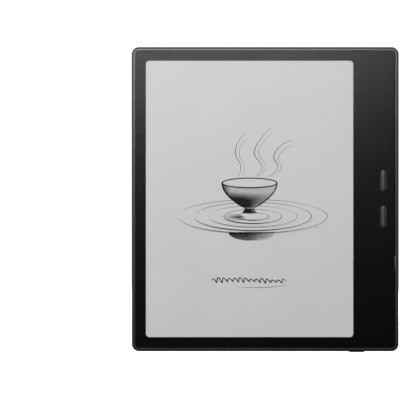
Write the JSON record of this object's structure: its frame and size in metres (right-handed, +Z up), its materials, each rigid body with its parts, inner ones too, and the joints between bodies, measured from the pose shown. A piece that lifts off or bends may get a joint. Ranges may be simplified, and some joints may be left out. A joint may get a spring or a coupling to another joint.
{
  "type": "e-reader",
  "caption": "Slim seven-inch e-reader with a glass front, side grip with page buttons, leather-panelled back, card tray and USB-C port.",
  "frame": {"origin": "centre of the housing, halfway between glass and leather", "axes": "X to the reader's right, Y from the glass to the back, +Z up the page"},
  "size_m": [0.1366, 0.0067, 0.1559],
  "materials": {
    "satin_frame": "satin black coated light alloy",
    "cover_plastic": "satin black moulded plastic",
    "leather": "embossed charcoal leather",
    "cover_glass": "etched anti-glare glass",
    "clear_film": "optically clear film",
    "black_print": "black border print",
    "eink": "matte paper-like display film",
    "backplane_glass": "opaque thin-film glass",
    "black_plastic": "matte",
    "button_plastic": "satin",
    "board": "solder mask",
    "chip": "matte resin",
    "flex_film": "polyimide film",
    "steel": "stamped steel",
    "magnet_nickel": "nickel-plated magnet",
    "led": "white emitter",
    "tape": "foam tape",
    "pouch": "aluminium-laminate battery pouch",
    "rubber": "soft gasket",
    "mesh": "woven steel mesh"
  },
  "bodies": {
    "housing": {"mid_frame": "satin_frame", "rear_cover": "cover_plastic", "main_leather_panel": "leather", "grip_leather_panel": "leather", "cover_lens": "cover_glass", "lens_mask": "black_print", "optical_adhesive": "clear_film", "lens_adhesive": "tape", "touch_sensor": "clear_film", "light_guide": "clear_film", "frontlight_leds": "led", "frontlight_flex": "flex_film", "eink_film": "eink", "eink_backplane": "backplane_glass", "display_driver_chips": "chip", "display_flex": "flex_film", "touch_flex": "flex_film", "display_tape": "tape", "battery": "pouch", "battery_tape": "tape", "battery_protection_board": "board", "battery_flex": "flex_film", "battery_connector": "black_plastic", "mainboard": "board", "board_screws": "steel", "processor_shield": "steel", "power_shield": "steel", "board_chips": "chip", "board_connectors": "black_plastic", "usb_port_shell": "steel", "usb_port_tongue": "black_plastic", "card_cage": "steel", "page_switches": "black_plastic", "power_switch": "black_plastic", "power_flex": "flex_film", "speaker_upper": "black_plastic", "speaker_lower": "black_plastic", "speaker_meshes": "mesh", "microphone": "steel", "microphone_gasket": "rubber", "wifi_antenna": "flex_film", "antenna_spring": "steel", "case_magnets": "magnet_nickel"},
    "page_button_upper": {"page_button_upper": "button_plastic", "page_plunger_upper": "black_plastic"},
    "page_button_lower": {"page_button_lower": "button_plastic", "page_plunger_lower": "black_plastic"},
    "power_button": {"power_button": "button_plastic", "power_plunger": "black_plastic"},
    "card_tray": {"card_tray": "satin_frame"},
    "eject_slider": {"eject_slider": "steel"},
    "eject_lever": {"eject_lever": "steel"},
    "eject_rod": {"eject_rod": "steel"}
  },
  "joints": [
    {"name": "page_button_upper_press", "type": "slide", "parent": "housing", "child": "page_button_upper", "axis": [0, 1, 0], "range_m": [0, 0.00025], "stiffness_N_per_m": 6400},
    {"name": "page_button_lower_press", "type": "slide", "parent": "housing", "child": "page_button_lower", "axis": [0, 1, 0], "range_m": [0, 0.00025], "stiffness_N_per_m": 6400},
    {"name": "power_button_press", "type": "slide", "parent": "housing", "child": "power_button", "axis": [0, 0, 1], "range_m": [0, 0.00025], "stiffness_N_per_m": 6400},
    {"name": "eject_slider_push", "type": "slide", "parent": "housing", "child": "eject_slider", "axis": [1, 0, 0], "range_m": [0, 0.00102]},
    {"name": "eject_lever_turn", "type": "hinge", "parent": "housing", "child": "eject_lever", "pos_m": [0.0489, 0.0004, 0.036], "axis": [0, 1, 0], "range_deg": [-13.5, 0]},
    {"name": "eject_rod_push", "type": "slide", "parent": "housing", "child": "eject_rod", "axis": [-1, 0, 0], "range_m": [0, 0.0008]},
    {"name": "card_tray_slide", "type": "slide", "parent": "eject_slider", "child": "card_tray", "axis": [1, 0, 0], "range_m": [0, 0.022]}
  ],
  "couplings": [
    {"joint": "eject_lever_turn", "follows": "eject_slider_push", "rad_per_m": -230.3},
    {"joint": "eject_rod_push", "follows": "eject_slider_push", "ratio": 0.784}
  ]
}
